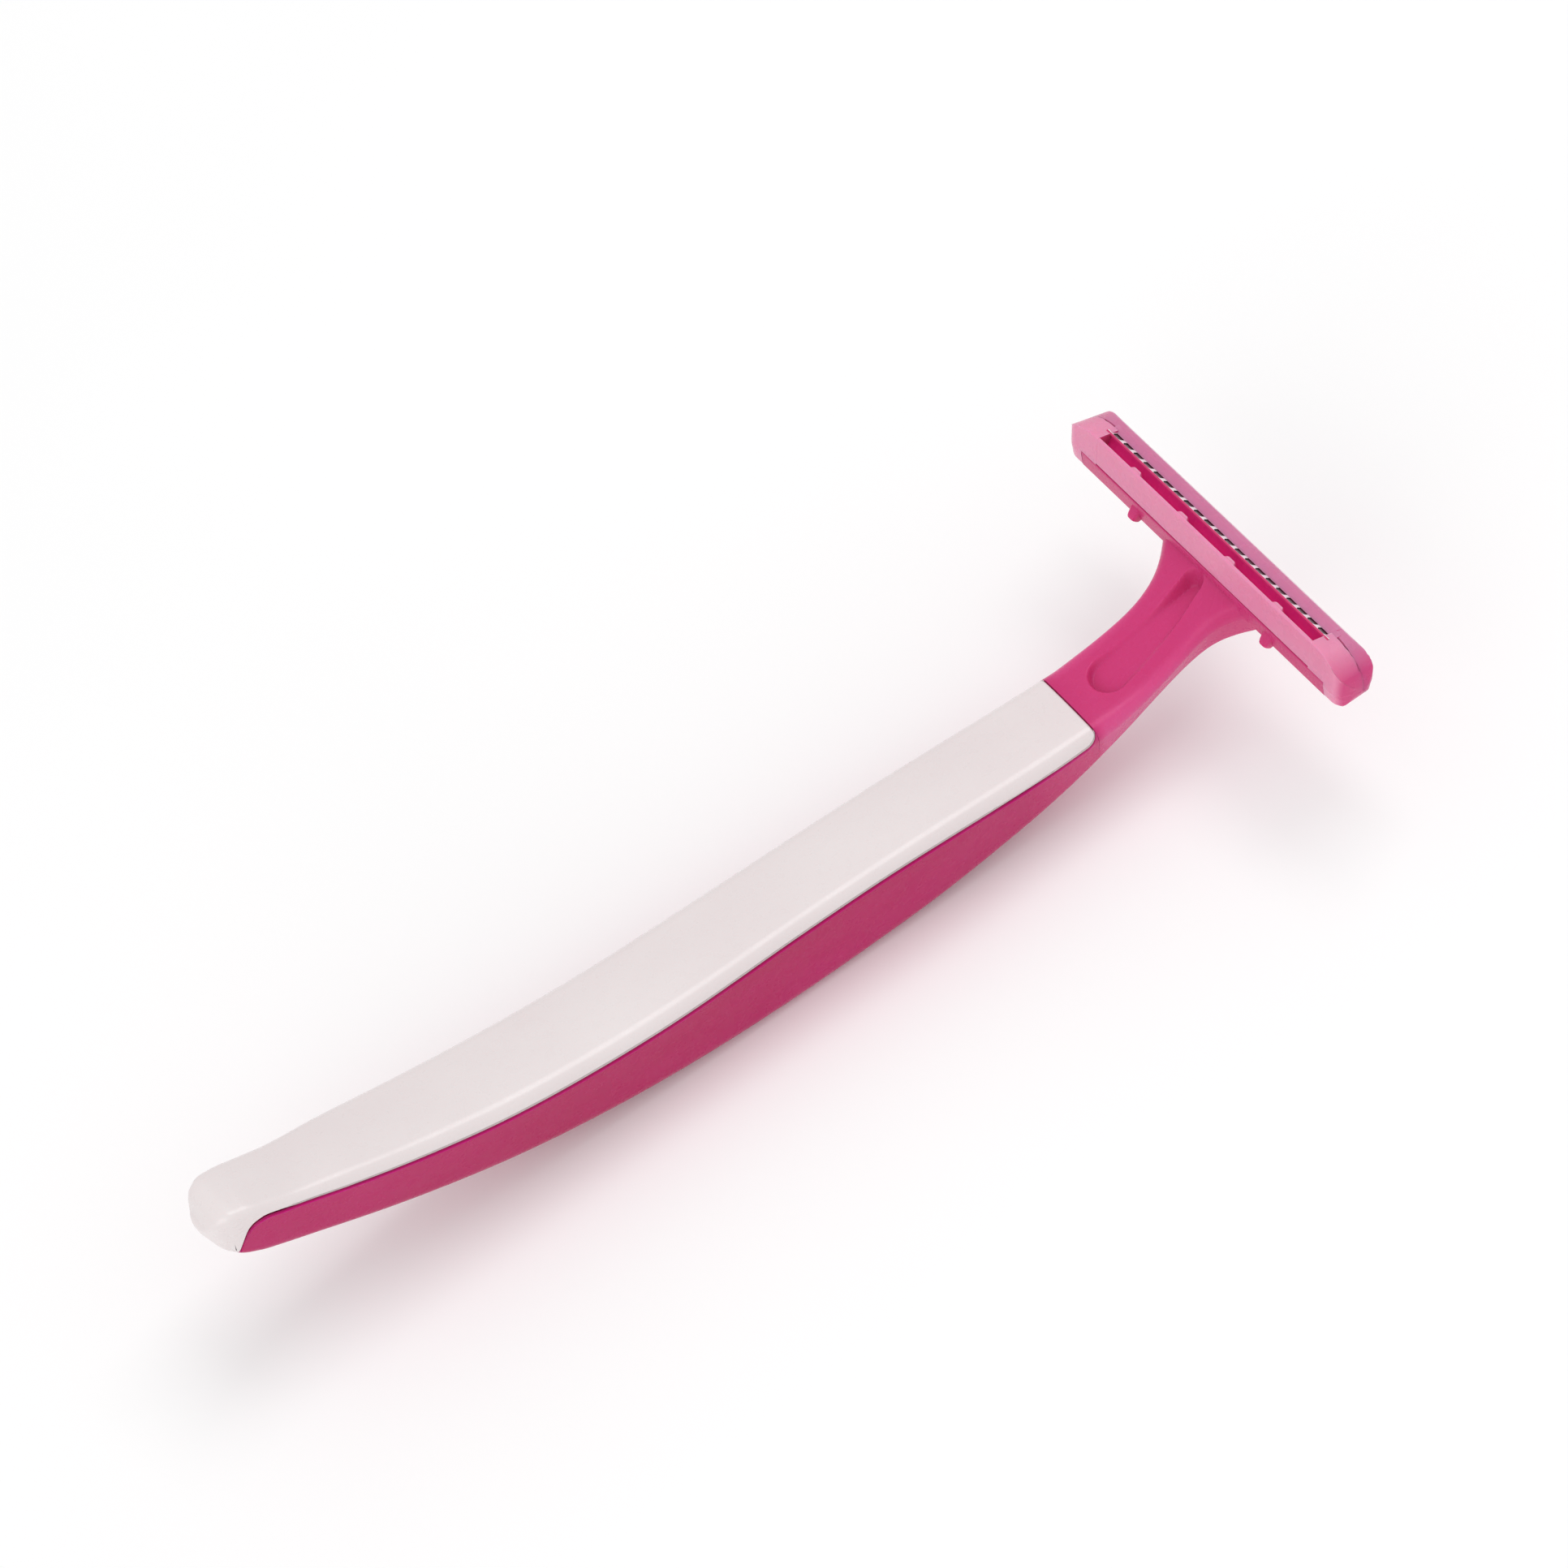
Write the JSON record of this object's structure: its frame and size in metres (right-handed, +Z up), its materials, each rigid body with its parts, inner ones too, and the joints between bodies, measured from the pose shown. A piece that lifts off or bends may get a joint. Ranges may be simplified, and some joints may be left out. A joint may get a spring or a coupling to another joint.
{
  "type": "fixed-head disposable razor",
  "caption": "One-piece safety razor for wet shaving: curved handle with a glossy grip cover, slim pocketed neck, and a fixed T-shaped head with a foil-guarded blade.",
  "frame": {"origin": "centre of the bounding box, at the height of the belly's rest flat (z = 0)", "axes": "+X from the butt to the head, +Y to the razor's left, +Z up, towards the shaving side"},
  "size_m": [0.1196, 0.0434, 0.0219],
  "materials": {
    "tinted_plastic": "translucent magenta, moulded, semi-gloss",
    "white_plastic": "smooth glossy off-white",
    "pale_plastic": "translucent pale pink, moulded, semi-gloss",
    "blade_steel": "ground and polished edge",
    "guard_foil": "thin bright punched foil"
  },
  "bodies": {
    "root": {"handle_core": "tinted_plastic", "grip_cover": "white_plastic", "guard_frame": "pale_plastic", "cap_bar": "pale_plastic", "blade": "blade_steel", "blade_guard": "guard_foil"}
  },
  "joints": []
}
